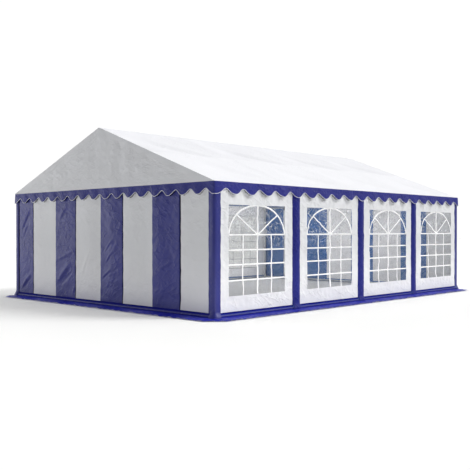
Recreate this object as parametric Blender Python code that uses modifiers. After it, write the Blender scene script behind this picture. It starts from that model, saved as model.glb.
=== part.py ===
"""Party tent, 6 by 8 metres: a steel tube frame under a white and blue cover.

The frame is in metres, +Z up. The front gable faces -Y, the ridge runs along Y,
and the origin is the centre of the footprint, at ground level.
"""

import math

import bmesh
import bpy
from mathutils import Matrix, Vector

# Overall size, measured on the outside of the cover
WIDTH = 6.0
LENGTH = 8.0
EAVE_Z = 2.147
RIDGE_Z = 3.267

# The cover: thickness of a sheet here and of a window film, the gap between pieces
# that touch, and how far the roof's edges and valances stand out from the walls
SHEET = 0.003
FILM = 0.0015
GAP = 0.0003
OUTER = 0.018

# Windows: four bays a side, each with one rectangular window
BAYS = 4
BAY = LENGTH / BAYS
WINDOW_WIDTH = 1.385
WINDOW_Z = (0.333, 1.788)
FILM_LAP = 0.02
POST_STRIP = 0.105
HEM_Z = 0.085
WALL_TOP_Z = 2.125

# Stripes of the gable walls: edges measured from the tent's right side (+X)
STRIPE_EDGES = (0.139, 0.796, 1.503, 2.312, 2.986, 3.774, 4.463, 5.291)

# Scalloped valance: notches along each kind of side, and depths below the eave
NOTCHES_LONG = (0.245, 0.3993, 20)
NOTCHES_GABLE = (0.193, 0.355, 17)
VALANCE_DEEP = 0.197
VALANCE_SHALLOW = 0.107
POINTS_PER_SCALLOP = 8

# Ground flap: width, how far its corners are cut back, and the near corner's lap
FLAP = 0.36
FLAP_CUT = 0.2
FLAP_LAP = 0.23
FLAP_LAP_OUTER = 0.09
MITRE_GAP = 0.0006

# Frame: tube radii, and where the tubes' centrelines run
TUBE = 0.025
THIN_TUBE = 0.019
BORE_CLEARANCE = 0.0005
SLEEVE = 0.031
STUB = 0.029
STUB_LENGTH = 0.16
THIN_SLEEVE = 0.026
SLEEVE_LENGTH = 0.09
TUBE_SIDES = 12
POST_X = WIDTH / 2 - 0.036
END_FRAME_Y = LENGTH / 2 - 0.050
FRAME_Y = (-END_FRAME_Y, -BAY, 0.0, BAY, END_FRAME_Y)
RAFTER_DROP = 0.036
RIDGE_RAIL_Z = 3.226
EAVE_RAIL_Z = 2.112
MID_RAIL_X = WIDTH / 4
RAIL_END = 0.040
SOCKET_BOTTOM_Z = 1.93
POST_TOP_Z = 2.069
GABLE_BEAM_Z = 2.02

# Feet and ground rails
PLATE_THICKNESS = 0.005
PLATE_SIZE = 0.146
PLATE_EDGE = 0.026
FOOT_SOCKET_TOP_Z = 0.125
POST_BOTTOM_Z = 0.0078
GROUND_RAIL_Z = 0.045
PEG_HOLE = 0.008
PEG_HOLE_SIDES = 8
PEG_HOLE_INSET = 0.03
CUT_PAST = 0.01

# Where each side's wall stands: turn about Z, and distance from the centre
SIDES = {
    "front": (0.0, LENGTH / 2),
    "right": (math.pi / 2, WIDTH / 2),
    "back": (math.pi, LENGTH / 2),
    "left": (-math.pi / 2, WIDTH / 2),
}

SLOPE = math.atan2(RIDGE_Z - EAVE_Z, WIDTH / 2 + OUTER)
UNDER_ROOF = SHEET / math.cos(SLOPE) + GAP

COLOURS = {
    "white_cover": ((0.80, 0.81, 0.83), 0.45, 0.0),
    "blue_cover": ((0.035, 0.045, 0.26), 0.40, 0.0),
    "window_film": ((0.62, 0.66, 0.68), 0.10, 0.0),
    "galvanised_steel": ((0.56, 0.58, 0.60), 0.38, 0.9),
}


def clear_scene():
    """Removes every object of the startup scene."""
    for obj in list(bpy.data.objects):
        bpy.data.objects.remove(obj)


def new_collection(name):
    collection = bpy.data.collections.new(name)
    bpy.context.scene.collection.children.link(collection)
    return collection


def make_materials():
    """One Principled BSDF for each kind of surface."""
    made = {}
    for name, (colour, roughness, metallic) in COLOURS.items():
        mat = bpy.data.materials.new(name)
        mat.use_nodes = True
        shader = mat.node_tree.nodes["Principled BSDF"]
        shader.inputs["Base Color"].default_value = (*colour, 1.0)
        shader.inputs["Roughness"].default_value = roughness
        shader.inputs["Metallic"].default_value = metallic
        made[name] = mat
    made["window_film"].node_tree.nodes["Principled BSDF"].inputs["Alpha"].default_value = 0.35
    return made


def add_object(name, data, parent=None, materials=()):
    """A new object in the tent's collection, placed in its parent's frame."""
    obj = bpy.data.objects.new(name, data)
    TENT.objects.link(obj)
    obj.parent = parent
    if not data.materials:
        for mat in materials:
            data.materials.append(MATERIALS[mat])
    return obj


def cylinder(radius, length, sides=TUBE_SIDES):
    """A capped cylinder's mesh, centred, along Z."""
    bm = bmesh.new()
    bmesh.ops.create_cone(
        bm,
        cap_ends=True,
        segments=sides,
        radius1=radius,
        radius2=radius,
        depth=length,
    )
    mesh = bpy.data.meshes.new("cylinder")
    bm.to_mesh(mesh)
    bm.free()
    mesh.shade_smooth()
    mesh.set_sharp_from_angle(angle=math.radians(40))
    return mesh


def along(start, end):
    """The matrix that lays a Z cylinder's axis from one point to the other."""
    start, end = Vector(start), Vector(end)
    direction = end - start
    if abs(direction.x) < 1e-9 and abs(direction.y) > 1e-9:
        turn = Matrix.Rotation(-math.pi / 2, 4, "X")
    else:
        turn = Matrix.Rotation(math.atan2(direction.x, direction.z), 4, "Y")
    return Matrix.Translation((start + end) / 2) @ turn


def rod(start, end, radius, sides=TUBE_SIDES):
    """A straight round bar between two points, as a helper object."""
    length = (Vector(end) - Vector(start)).length
    obj = bpy.data.objects.new("rod", cylinder(radius, length, sides))
    obj.matrix_world = along(start, end)
    return obj


def block(low, high):
    """A box between two corners, as a helper object."""
    low, high = Vector(low), Vector(high)
    bm = bmesh.new()
    bmesh.ops.create_cube(bm, size=1.0)
    bmesh.ops.scale(bm, vec=high - low, verts=bm.verts)
    bmesh.ops.translate(bm, vec=(low + high) / 2, verts=bm.verts)
    mesh = bpy.data.meshes.new("block")
    bm.to_mesh(mesh)
    bm.free()
    return bpy.data.objects.new("block", mesh)


def fused(name, solids, cutters):
    """One mesh: the first solid joined with the others, then cut."""
    helpers = [*solids, *cutters]
    for helper in helpers:
        HELPERS.objects.link(helper)
    base = solids[0]
    for helper, operation in [
        *((s, "UNION") for s in solids[1:]),
        *((c, "DIFFERENCE") for c in cutters),
    ]:
        modifier = base.modifiers.new(operation.lower(), "BOOLEAN")
        modifier.operation = operation
        modifier.solver = "EXACT"
        modifier.object = helper
    bpy.context.view_layer.update()
    graph = bpy.context.evaluated_depsgraph_get()
    mesh = bpy.data.meshes.new_from_object(base.evaluated_get(graph))
    mesh.transform(base.matrix_world)
    mesh.name = name
    mesh.shade_smooth()
    mesh.set_sharp_from_angle(angle=math.radians(40))
    for helper in helpers:
        bpy.data.objects.remove(helper)
    return mesh


def tube(name, parent, start, end, radius):
    """A straight steel tube as a node, in its parent's frame."""
    length = (Vector(end) - Vector(start)).length
    obj = add_object(name, cylinder(radius, length), parent, ["galvanised_steel"])
    obj.matrix_basis = along(start, end)
    return obj


def flat_sheet(name, parent, u_range, v_range, thickness, cuts=(), hole=None, blue=None):
    """A vertical sheet in its side's frame, its outer face on the wall plane.

    cuts are where the colour may change along the wall. hole is (low u, high u,
    low z, high z). blue tells from u and z whether the cover is blue there.
    """
    bm = bmesh.new()
    bmesh.ops.create_grid(bm, x_segments=1, y_segments=1, size=0.5)
    size = Vector((u_range[1] - u_range[0], v_range[1] - v_range[0], 1))
    middle = Vector((sum(u_range) / 2, sum(v_range) / 2, 0))
    bmesh.ops.scale(bm, vec=size, verts=bm.verts)
    bmesh.ops.translate(bm, vec=middle, verts=bm.verts)
    lines = [((u, 0, 0), (1, 0, 0)) for u in cuts]
    if blue:
        lines.append(((0, HEM_Z, 0), (0, 1, 0)))
    if hole:
        lines += [((u, 0, 0), (1, 0, 0)) for u in hole[:2]]
        lines += [((0, v, 0), (0, 1, 0)) for v in hole[2:]]
    for point, normal in lines:
        bmesh.ops.bisect_plane(
            bm,
            geom=[*bm.verts, *bm.edges, *bm.faces],
            plane_co=point,
            plane_no=normal,
        )
    if hole:
        inside = [
            face
            for face in bm.faces
            if hole[0] < face.calc_center_median().x < hole[1]
            and hole[2] < face.calc_center_median().y < hole[3]
        ]
        bmesh.ops.delete(bm, geom=inside, context="FACES")
    if blue:
        for face in bm.faces:
            centre = face.calc_center_median()
            face.material_index = int(blue(centre.x, centre.y))
    bmesh.ops.rotate(bm, matrix=Matrix.Rotation(math.pi / 2, 3, "X"), verts=bm.verts)
    mesh = bpy.data.meshes.new(name)
    bm.to_mesh(mesh)
    bm.free()
    obj = add_object(name, mesh, parent)
    solidify = obj.modifiers.new("thickness", "SOLIDIFY")
    solidify.thickness = thickness
    solidify.offset = -1
    return obj


def outline(name, parent, points, thickness, material):
    """A flat piece cut to an outline, lying in its local XY plane."""
    curve = bpy.data.curves.new(name, "CURVE")
    curve.dimensions = "2D"
    curve.fill_mode = "BOTH"
    curve.extrude = thickness / 2
    spline = curve.splines.new("POLY")
    spline.points.add(len(points) - 1)
    for point, (x, y) in zip(spline.points, points):
        point.co = (x, y, 0, 1)
    spline.use_cyclic_u = True
    return add_object(name, curve, parent, [material])


def upright_outline(name, parent, points, outward, thickness, material):
    """An outline stood up in its side's plane; outward is its outer face."""
    obj = outline(name, parent, points, thickness, material)
    obj.location = (0, -outward + thickness / 2, 0)
    obj.rotation_euler = (math.pi / 2, 0, 0)
    return obj


def make_side(name):
    """The empty that carries a side: X along the wall, -Y outward, Z up."""
    turn, distance = SIDES[name]
    side = bpy.data.objects.new(name + "_side", None)
    TENT.objects.link(side)
    side.rotation_euler = (0, 0, turn)
    side.location = Matrix.Rotation(turn, 3, "Z") @ Vector((0, -distance, 0))
    return side


def make_window_walls(name, side):
    """Four window panels and their films, numbered from the front."""
    forward = 1 if name == "right" else -1
    for bay in range(BAYS):
        centre = forward * (bay + 0.5 - BAYS / 2) * BAY
        low, high = centre - BAY / 2 + GAP / 2, centre + BAY / 2 - GAP / 2
        half = WINDOW_WIDTH / 2
        strips = (centre - BAY / 2 + POST_STRIP, centre + BAY / 2 - POST_STRIP)

        def is_blue(u, z, strips=strips):
            return z < HEM_Z or not strips[0] < u < strips[1]

        wall = flat_sheet(
            f"window_wall_{name}_{bay + 1}",
            side,
            (low, high),
            (0, WALL_TOP_Z),
            SHEET,
            cuts=strips,
            hole=(centre - half, centre + half, *WINDOW_Z),
            blue=is_blue,
        )
        wall.data.materials.append(MATERIALS["white_cover"])
        wall.data.materials.append(MATERIALS["blue_cover"])
        film = flat_sheet(
            f"window_film_{name}_{bay + 1}",
            side,
            (centre - half - FILM_LAP, centre + half + FILM_LAP),
            (WINDOW_Z[0] - FILM_LAP, WINDOW_Z[1] + FILM_LAP),
            FILM,
        )
        film.data.materials.append(MATERIALS["window_film"])
        film.location = (0, SHEET + GAP, 0)


def make_gable_wall(name, side):
    """A striped end wall, from one corner to the other."""
    to_u = (lambda w: WIDTH / 2 - w) if name == "front" else (lambda w: w - WIDTH / 2)

    def is_blue(u, z):
        from_right = WIDTH / 2 - u if name == "front" else u + WIDTH / 2
        return z < HEM_Z or sum(from_right > edge for edge in STRIPE_EDGES) % 2 == 0

    wall = flat_sheet(
        "gable_wall_" + name,
        side,
        (-WIDTH / 2 + SHEET + GAP, WIDTH / 2 - SHEET - GAP),
        (0, WALL_TOP_Z),
        SHEET,
        cuts=[to_u(edge) for edge in STRIPE_EDGES],
        blue=is_blue,
    )
    wall.data.materials.append(MATERIALS["white_cover"])
    wall.data.materials.append(MATERIALS["blue_cover"])


def make_gable_top(name, side):
    """The triangle of cover over an end wall, under the roof's edge."""
    foot = EAVE_Z - UNDER_ROOF + GAP
    reach = WIDTH / 2 + OUTER - GAP / math.tan(SLOPE)
    points = [(-reach, foot), (reach, foot), (0, RIDGE_Z - UNDER_ROOF)]
    upright_outline("gable_top_" + name, side, points, OUTER, SHEET, "white_cover")


def valance_depth(position, length, first, spacing, count):
    """The valance's depth below the eave at a distance from its first end."""
    last = first + (count - 1) * spacing
    if position < first:
        phase = 0.5 * position / first - 0.5
    elif position > last:
        phase = count - 1 + 0.5 * (position - last) / (length - last)
    else:
        phase = (position - first) / spacing
    middle = (VALANCE_DEEP + VALANCE_SHALLOW) / 2
    swing = (VALANCE_DEEP - VALANCE_SHALLOW) / 2
    return middle - swing * math.cos(2 * math.pi * phase)


def make_valance(name, side):
    """The scalloped strip along a side's eave."""
    long_side = name in ("left", "right")
    length = LENGTH if long_side else WIDTH
    first, spacing, count = NOTCHES_LONG if long_side else NOTCHES_GABLE
    from_low_end = name in ("right", "back")
    last = first + (count - 1) * spacing
    between = (count - 1) * POINTS_PER_SCALLOP
    thirds = (1 / 3, 2 / 3, 1)
    stops = [0, *(first * share for share in thirds)]
    stops += [first + (last - first) * (i + 1) / between for i in range(between)]
    stops += [last + (length - last) * share for share in thirds]
    half = length / 2 + (OUTER if long_side else OUTER - SHEET - GAP)
    top = EAVE_Z - UNDER_ROOF
    lower = []
    for stop in stops:
        u = stop - length / 2 if from_low_end else length / 2 - stop
        if stop in (0, length):
            u = math.copysign(half, u)
        depth = valance_depth(stop, length, first, spacing, count)
        lower.append((u, EAVE_Z - depth))
    lower.sort()
    points = [*lower, (half, top), (-half, top)]
    upright_outline("valance_" + name, side, points, OUTER, SHEET, "blue_cover")


def make_flap(name, side):
    """The strip of cover that lies on the ground outside a wall."""
    half = SIDES["left" if name in ("front", "back") else "front"][1]

    def end(sign):
        near = (name, sign) in (("front", 1), ("right", -1))
        if not near:
            return [(sign * (half - FLAP_CUT), -FLAP), (sign * (half - GAP), -GAP)]
        return [
            (sign * (half + FLAP_LAP_OUTER), -FLAP),
            (sign * (half + FLAP_LAP - MITRE_GAP), -FLAP_LAP),
            (sign * (half - MITRE_GAP), -GAP),
        ]

    points = [*end(1), *reversed(end(-1))]
    flap = outline("ground_flap_" + name, side, points, SHEET, "blue_cover")
    flap.location = (0, 0, SHEET / 2)


def make_roof_slope(name, side):
    """One slope of the roof cover, from the eave up to the ridge."""
    ridge_gap = SHEET * math.sin(SLOPE) + GAP
    run = WIDTH / 2 + OUTER - ridge_gap
    roof = flat_sheet(
        "roof_" + name,
        side,
        (-LENGTH / 2 - OUTER, LENGTH / 2 + OUTER),
        (0, run / math.cos(SLOPE)),
        SHEET,
    )
    roof.data.materials.append(MATERIALS["white_cover"])
    roof.location = (0, -OUTER, EAVE_Z)
    roof.rotation_euler = (SLOPE - math.pi / 2, 0, 0)


def rafter_z(x):
    """Height of a rafter's centreline at a distance from the ridge line."""
    return RIDGE_Z - RAFTER_DROP - math.tan(SLOPE) * abs(x)


def roof_frame_mesh():
    """Two rafters with the sleeves that the rails and the posts plug into."""
    half = SLEEVE_LENGTH / 2
    solids, cutters = [], []

    def across(x, z, radius, length):
        return rod((x, -length / 2, z), (x, length / 2, z), radius)

    solids.append(across(0, RIDGE_RAIL_Z, SLEEVE, 2 * half))
    cutters.append(across(0, RIDGE_RAIL_Z, TUBE + BORE_CLEARANCE, 4 * half))
    for sign in (-1, 1):
        ridge = Vector((0, 0, rafter_z(0)))
        eave = Vector((sign * POST_X, 0, rafter_z(POST_X)))
        down = (eave - ridge).normalized()
        mid_x, mid_z = sign * MID_RAIL_X, rafter_z(MID_RAIL_X)
        post_x = sign * POST_X
        solids += [
            rod(ridge, eave, TUBE),
            rod(ridge + down * 0.002, ridge + down * STUB_LENGTH, STUB),
            rod(eave - down * STUB_LENGTH, eave - down * 0.004, STUB),
            across(mid_x, mid_z, THIN_SLEEVE, 2 * half),
            across(post_x, EAVE_RAIL_Z, SLEEVE, 2 * half),
            rod((post_x, 0, SOCKET_BOTTOM_Z), (post_x, 0, EAVE_RAIL_Z), SLEEVE),
        ]
        cutters += [
            across(mid_x, mid_z, THIN_TUBE + BORE_CLEARANCE, 4 * half),
            across(post_x, EAVE_RAIL_Z, TUBE + BORE_CLEARANCE, 4 * half),
            rod(
                (post_x, 0, SOCKET_BOTTOM_Z - CUT_PAST),
                (post_x, 0, POST_TOP_Z + GAP),
                TUBE + BORE_CLEARANCE,
            ),
        ]
    return fused("roof_frame", solids, cutters)


def base_rail_mesh():
    """A long side's ground rail with five feet, each a plate and a socket."""
    low, high = (0, -END_FRAME_Y, GROUND_RAIL_Z), (0, END_FRAME_Y, GROUND_RAIL_Z)
    solids = [rod(low, high, THIN_TUBE)]
    cutters = []
    for y in FRAME_Y:
        at_end = abs(y) == END_FRAME_Y
        outer_y = math.copysign(abs(y) + PLATE_EDGE, y)
        inner_y = math.copysign(abs(outer_y) - PLATE_SIZE, y)
        low_y, high_y = y - PLATE_SIZE / 2, y + PLATE_SIZE / 2
        if at_end:
            low_y, high_y = sorted((outer_y, inner_y))
        low_x, high_x = PLATE_EDGE - PLATE_SIZE, PLATE_EDGE
        solids.append(block((low_x, low_y, 0), (high_x, high_y, PLATE_THICKNESS)))
        solids.append(rod((0, y, PLATE_THICKNESS / 2), (0, y, FOOT_SOCKET_TOP_Z), SLEEVE))
        bore_top = FOOT_SOCKET_TOP_Z + CUT_PAST
        bore = rod((0, y, POST_BOTTOM_Z - GAP), (0, y, bore_top), TUBE + BORE_CLEARANCE)
        cutters.append(bore)
        hole_x = low_x + PEG_HOLE_INSET
        for hole_y in (low_y + PEG_HOLE_INSET, high_y - PEG_HOLE_INSET):
            low, high = (hole_x, hole_y, -CUT_PAST), (hole_x, hole_y, 2 * CUT_PAST)
            cutters.append(rod(low, high, PEG_HOLE, PEG_HOLE_SIDES))
    return fused("base_rail", solids, cutters)


def make_long_frame(name, side, base_mesh):
    """A long side's posts, and its ground rail with feet."""
    inward = WIDTH / 2 - POST_X
    base = add_object("base_rail_" + name, base_mesh, side, ["galvanised_steel"])
    base.location = (0, inward, 0)
    base.rotation_euler = (0, 0, -math.pi / 2)
    forward = 1 if name == "right" else -1
    for number, y in enumerate(FRAME_Y, 1):
        u = forward * y
        tube(
            f"post_{name}_{number}",
            side,
            (u, inward, POST_BOTTOM_Z),
            (u, inward, POST_TOP_Z),
            TUBE,
        )


def make_rails():
    """The rails along the roof, which run through the roof frames' sleeves."""
    rail_half = END_FRAME_Y + RAIL_END
    rails = [
        ("ridge_rail", 0, RIDGE_RAIL_Z, TUBE),
        ("eave_rail_left", -POST_X, EAVE_RAIL_Z, TUBE),
        ("eave_rail_right", POST_X, EAVE_RAIL_Z, TUBE),
        ("mid_rail_left", -MID_RAIL_X, rafter_z(MID_RAIL_X), THIN_TUBE),
        ("mid_rail_right", MID_RAIL_X, rafter_z(MID_RAIL_X), THIN_TUBE),
    ]
    for name, x, z, radius in rails:
        tube(name, None, (x, -rail_half, z), (x, rail_half, z), radius)


def make_gable_frame(name, side):
    """The beam over an end wall and the ground rail under it."""
    inward = LENGTH / 2 - END_FRAME_Y
    reach = POST_X - SLEEVE - GAP
    for kind, z in (("gable_beam_", GABLE_BEAM_Z), ("gable_base_rail_", GROUND_RAIL_Z)):
        tube(kind + name, side, (-reach, inward, z), (reach, inward, z), THIN_TUBE)


def make_tent():
    frame_mesh = roof_frame_mesh()
    for number, y in enumerate(FRAME_Y, 1):
        frame = add_object(f"roof_frame_{number}", frame_mesh, None, ["galvanised_steel"])
        frame.location = (0, y, 0)
    make_rails()
    base_mesh = base_rail_mesh()
    for name in SIDES:
        side = make_side(name)
        make_valance(name, side)
        make_flap(name, side)
        if name in ("left", "right"):
            make_window_walls(name, side)
            make_roof_slope(name, side)
            make_long_frame(name, side, base_mesh)
        else:
            make_gable_wall(name, side)
            make_gable_top(name, side)
            make_gable_frame(name, side)


clear_scene()
TENT = new_collection("party_tent")
HELPERS = new_collection("helpers")
MATERIALS = make_materials()
make_tent()
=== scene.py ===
"""Looks of the party tent: a coated cloth cover, striped blue and white, over steel tube.

Metres, +Z up. The front gable faces -Y and the ridge runs along Y. Each sheet of the
cover is made in its side's own terms: u runs along the wall from left to right as seen
from outside, out is the distance outward from the wall's plane, and z is the height.
"""

import math

import bmesh
import bpy
import numpy as np
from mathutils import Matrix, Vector


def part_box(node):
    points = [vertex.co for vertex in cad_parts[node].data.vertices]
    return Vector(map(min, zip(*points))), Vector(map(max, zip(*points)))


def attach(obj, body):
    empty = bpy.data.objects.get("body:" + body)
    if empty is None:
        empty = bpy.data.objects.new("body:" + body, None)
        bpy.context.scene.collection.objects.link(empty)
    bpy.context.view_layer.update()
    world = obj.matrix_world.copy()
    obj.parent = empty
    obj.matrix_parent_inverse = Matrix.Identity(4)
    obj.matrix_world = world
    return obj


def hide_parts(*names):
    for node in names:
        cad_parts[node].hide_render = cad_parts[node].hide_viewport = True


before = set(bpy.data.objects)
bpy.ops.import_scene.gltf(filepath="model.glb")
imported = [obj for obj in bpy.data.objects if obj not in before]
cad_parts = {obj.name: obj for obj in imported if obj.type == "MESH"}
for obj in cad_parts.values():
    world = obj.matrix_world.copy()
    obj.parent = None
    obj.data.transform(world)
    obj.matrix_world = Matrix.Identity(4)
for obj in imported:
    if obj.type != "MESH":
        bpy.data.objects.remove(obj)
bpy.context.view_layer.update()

# The cover's main lines, from the frame
SHEET = 0.003
WALL_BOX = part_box("window_wall_right_1")
ROOF_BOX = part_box("roof_right")
FILM_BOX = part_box("window_film_right_1")
HALF_WIDTH = WALL_BOX[1].x
HALF_LENGTH = -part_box("gable_wall_front")[0].y
WALL_TOP = WALL_BOX[1].z
EDGE_OUT = ROOF_BOX[1].x - HALF_WIDTH
EAVE_Z = ROOF_BOX[0].z + SHEET
RIDGE_Z = ROOF_BOX[1].z
SLOPE = math.atan2(RIDGE_Z - EAVE_Z, HALF_WIDTH + EDGE_OUT)
BAY = 2.0
BAYS = 4
SIDES = ("front", "right", "back", "left")

# Windows: the opening, the film behind it, and the doubled cloth round it
FILM_LAP = 0.02
WINDOW_HALF = (FILM_BOX[1].y - FILM_BOX[0].y) / 2 - FILM_LAP
WINDOW_LOW = FILM_BOX[0].z + FILM_LAP
WINDOW_HIGH = FILM_BOX[1].z - FILM_LAP
FILM_BACK = 0.004
FILM_SLACK = 0.006
BORDER_LIFT = 0.0022
BORDER_EDGE = (0.034, 0.042)

# Window bars: places, then (width, lift off the film), which keeps crossing bars apart
BAR_HEIGHTS = (0.576, 0.827, 1.062)
SPRING_Z = 1.308
QUARTER_PLACE = 0.350
DIAGONAL_ANGLE = math.radians(47)
THIN_BAR = 0.030
CROSS_BAR = (0.024, 0.0016)
QUARTER_BAR = (0.85 * THIN_BAR, 0.0022)
CENTRE_BAR = (0.036, 0.0028)
DIAGONAL_BAR = (0.8 * THIN_BAR, 0.0034)
ARCH_BAR = (THIN_BAR, 0.0040)
BAR_THICKNESS = 0.0006
STRAIGHT_POINTS = 80
ARCH_POINTS = 110

# The gables' stripes, from the tent's right side, blue first; their seams; the slit
STRIPE_EDGES = (0.139, 0.796, 1.503, 2.312, 2.986, 3.774, 4.463, 5.291)
BLUE_STARTS = STRIPE_EDGES[1::2]
SEAM = 0.024
SEAM_FALL = 0.034
SEAM_DEPTH = 0.010
SLIT = (5.850, 5.888)
SLIT_EDGE = 0.010
SLIT_DEPTH = 0.050

# The strips over the posts: widths, bulges, and the flare over the hem at their feet
POST_STRIP = 0.105
CORNER_STRIP = 0.130
OVERLAP = 0.022
OVERLAP_LIFT = 0.006
CORNER_RADIUS = 0.034
POST_REACH = 0.17
COLUMN_HALF = 0.13
MID_BULGE = 0.016
CORNER_BULGE = 0.004
STRIP_LIFT = 0.003
FLARE = 0.048
FLARE_Z = 0.13
INNER_GAP = 0.002

# The walls' heights: lower edge, seam over the hem, its part with painted shade, top band, and
# folds
WALL_BOTTOM = 0.010
HEM_Z = 0.085
SHADE_Z = 0.050
BAND_Z = 2.064
FREE_LOW = 0.26
FREE_HIGH = (1.92, 2.12)
GATHER_LENGTH = 0.1331
GATHER_DEPTH = 0.0018
GATHER_Z = (1.78, 1.95)

# The hem's roll, and the pinched seam over it
ROLL_Z = 0.030
ROLL_RADIUS = 0.022
PINCH = 0.008
PINCH_Z = 0.066
PINCH_HALF = 0.018

# Valances: (first notch, spacing, notches), depths below the eave, and how they stand
NOTCHES_LONG = (0.222, 0.3975, 20)
NOTCHES_GABLE = (0.178, 0.3487, 17)
VALANCE_DEEP = 0.197
VALANCE_SHALLOW = 0.107
LOBE_ROUND = 0.12
VALANCE_STAND = 0.021
VALANCE_FLUTE = 0.007
CORNER_STAND = 0.010
VALANCE_CORNER = 0.008
PIPING = 0.0045

# Roof: sags between rafters and rails, the crown over them, and the run of its folds
SAG_LOW = 0.022
SAG_HIGH = 0.030
SAG_BAY = 0.004
CROWN = 0.016
FOLD_RUN = 3.3

# Ground flap: width, cut corners, the lapped corner, and its section from under the hem
FLAP = 0.36
FLAP_CUT = 0.2
FLAP_LAP = 0.23
FLAP_LAP_OUTER = 0.09
FLAP_STOPS = (0, 0.03, 0.08, 0.16, 1)
FLAP_OUTS = (0.010, 0.020, 0.034, 0.060, FLAP)
FLAP_HEIGHTS = (0.018, 0.015, 0.011, 0.009, 0.009)
FLAP_FOLD = 0.010
FLAP_LOW = 0.002

# Grid steps
WALL_STEP = 0.018
FILM_STEP = 0.018
INSIDE_STEP = 0.013
INSIDE_WIDE_STEP = 0.036
INSIDE_RISE = 0.05
INSIDE_LOW = 0.15
ROOF_STEP = 0.045
TRIANGLE_STEP = 0.03
VALANCE_STEP = 0.0125
FLAP_STEP = 0.024

# Random waves: how many make a ripple, and how their lengths vary
WAVES = 9
WAVE_RANGE = (0.65, 1.5)

# Random creases: lengths, widths, and how far they stray from a heading
CRINKLE_LENGTHS = (0.07, 0.26)
CRINKLE_WIDTHS = (0.014, 0.026)
CRINKLE_STRAY = 0.35

# The photograph's camera: place, turn, focal length in its pixels, and how far it sees
PHOTO_PIXELS = 470
CAMERA_PLACE = (10.9648, -11.8708, 1.3741)
CAMERA_YAW = 0.7633
CAMERA_PITCH = -0.006
FOCAL_PIXELS = 722.81
SENSOR = 36.0
SIGHT = 400.0

# The studio: floor, backdrop, sky and sun
FLOOR_HALF = 110.0
FLOOR_Z = -0.002
FLOOR_GLOW = 0.10
DOME_RADIUS = 160.0
DOME_GLOW = 1.03
SKY_TOP = (-0.38, 0.46, 0.80)
SKY_EDGES = (0.27, 0.68)
SKY_GLOW = (0.04, 1.03)
SUN_AIM = (-0.58, -0.50, -0.64)
SUN_POWER = 1.84
SUN_WIDTH = math.radians(24)

# Lamps: place, target, size, power, spread in degrees, and colour
LAMPS = {
    "inside_left": ((2.6, 0.0, 1.0), (-3, 0.0, 1.1), (7, 1.6), 42, 50, (1, 0.96, 0.93)),
    "inside_back": ((0.2, -3.6, 1.2), (0.2, 4, 1.5), (5.4, 1.2), 30, 44, (1, 0.96, 0.93)),
    "low_right": ((5.8, 0, 0.35), (3, 0, 0.25), (9, 0.3), 9, 40, (1, 0.96, 0.86)),
    "low_front": ((0, -6.8, 0.35), (0, -4, 0.25), (7, 0.3), 3.4, 40, (1, 0.97, 0.90)),
    "sheen": ((-13, -10.5, 2.2), (-1, -4, 1.2), (8, 4), 275, 180, (1, 1, 1)),
}

# A wall's paints, by their places in its list of materials. The last two are painted shade: over
# the hem, and behind the valance. On the gables the third is painted shade too, near-black in the
# seams, the slit and behind the valance.
PLAIN, BLUE_PART, DARK_PART, HEM_SHADE, VALANCE_SHADE = range(5)

# The Mix node's colour sockets by number: its other sockets have the same names
MIX_FIRST, MIX_SECOND, MIX_RESULT = 6, 7, 2


def half_of(side):
    """Half the length of a side's wall."""
    return HALF_WIDTH if side in ("front", "back") else HALF_LENGTH


def to_world(side, u, out, z):
    """Points of a side's own terms in the frame."""
    if side == "front":
        return u, -HALF_LENGTH - out, z
    if side == "back":
        return -u, HALF_LENGTH + out, z
    if side == "right":
        return HALF_WIDTH + out, u, z
    return -HALF_WIDTH - out, -u, z


def smooth(low, high, x):
    """A smooth step from 0 at low to 1 at high."""
    t = np.clip((x - low) / (high - low), 0.0, 1.0)
    return t * t * (3 - 2 * t)


def near(x, centre, width):
    """A rounded bump, 1 at centre and 0 at width from it."""
    t = np.clip(np.abs(x - centre) / width, 0.0, 1.0)
    return (1 - t * t) ** 2


def ripple(u, v, seed, length, spread=math.pi):
    """Smooth random waves about a length apart, their headings spread round u's."""
    rng = np.random.default_rng(seed)
    total = np.zeros(np.broadcast(u, v).shape)
    for _ in range(WAVES):
        angle = rng.uniform(-spread / 2, spread / 2)
        turns = 2 * math.pi / (length * rng.uniform(*WAVE_RANGE))
        along = u * math.cos(angle) + v * math.sin(angle)
        total += np.cos(turns * along + rng.uniform(0, 2 * math.pi))
    return total / math.sqrt(WAVES)


def crease(u, v, start, end, width, height):
    """A fold pressed in along a line, sharp across it and fading to its ends."""
    du, dv = end[0] - start[0], end[1] - start[1]
    length = math.hypot(du, dv)
    along = ((u - start[0]) * du + (v - start[1]) * dv) / length**2
    across = ((u - start[0]) * dv - (v - start[1]) * du) / length
    fade = np.clip(4 * along * (1 - along), 0.0, 1.0)
    steep = across / width
    return height * fade * (np.exp(-(steep**2)) + 0.8 * steep * np.exp(-(steep**2) / 2))


def crinkles(u, v, seed, centres, count, spread, size, heading=None):
    """Many short creases scattered round some places, near a heading or any way."""
    rng = np.random.default_rng(seed)
    total = np.zeros(np.broadcast(u, v).shape)
    for _ in range(count):
        centre = centres[rng.integers(len(centres))]
        middle = (centre[0] + rng.normal(0, spread), centre[1] + rng.normal(0, spread))
        turned = rng.uniform(0, math.pi) if heading is None else rng.normal(heading, CRINKLE_STRAY)
        length = rng.uniform(*CRINKLE_LENGTHS)
        step = (length * math.cos(turned), length * math.sin(turned))
        end = (middle[0] + step[0], middle[1] + step[1])
        width = rng.uniform(*CRINKLE_WIDTHS)
        total += crease(u, v, middle, end, width, size * rng.uniform(-1, 1))
    return total


def grid_lines(stops, step):
    """Places about a step apart, with one exactly on each stop."""
    lines = [
        np.linspace(low, high, max(1, round((high - low) / step)), endpoint=False)
        for low, high in zip(stops, stops[1:])
    ]
    return np.append(np.concatenate(lines), stops[-1])


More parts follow.
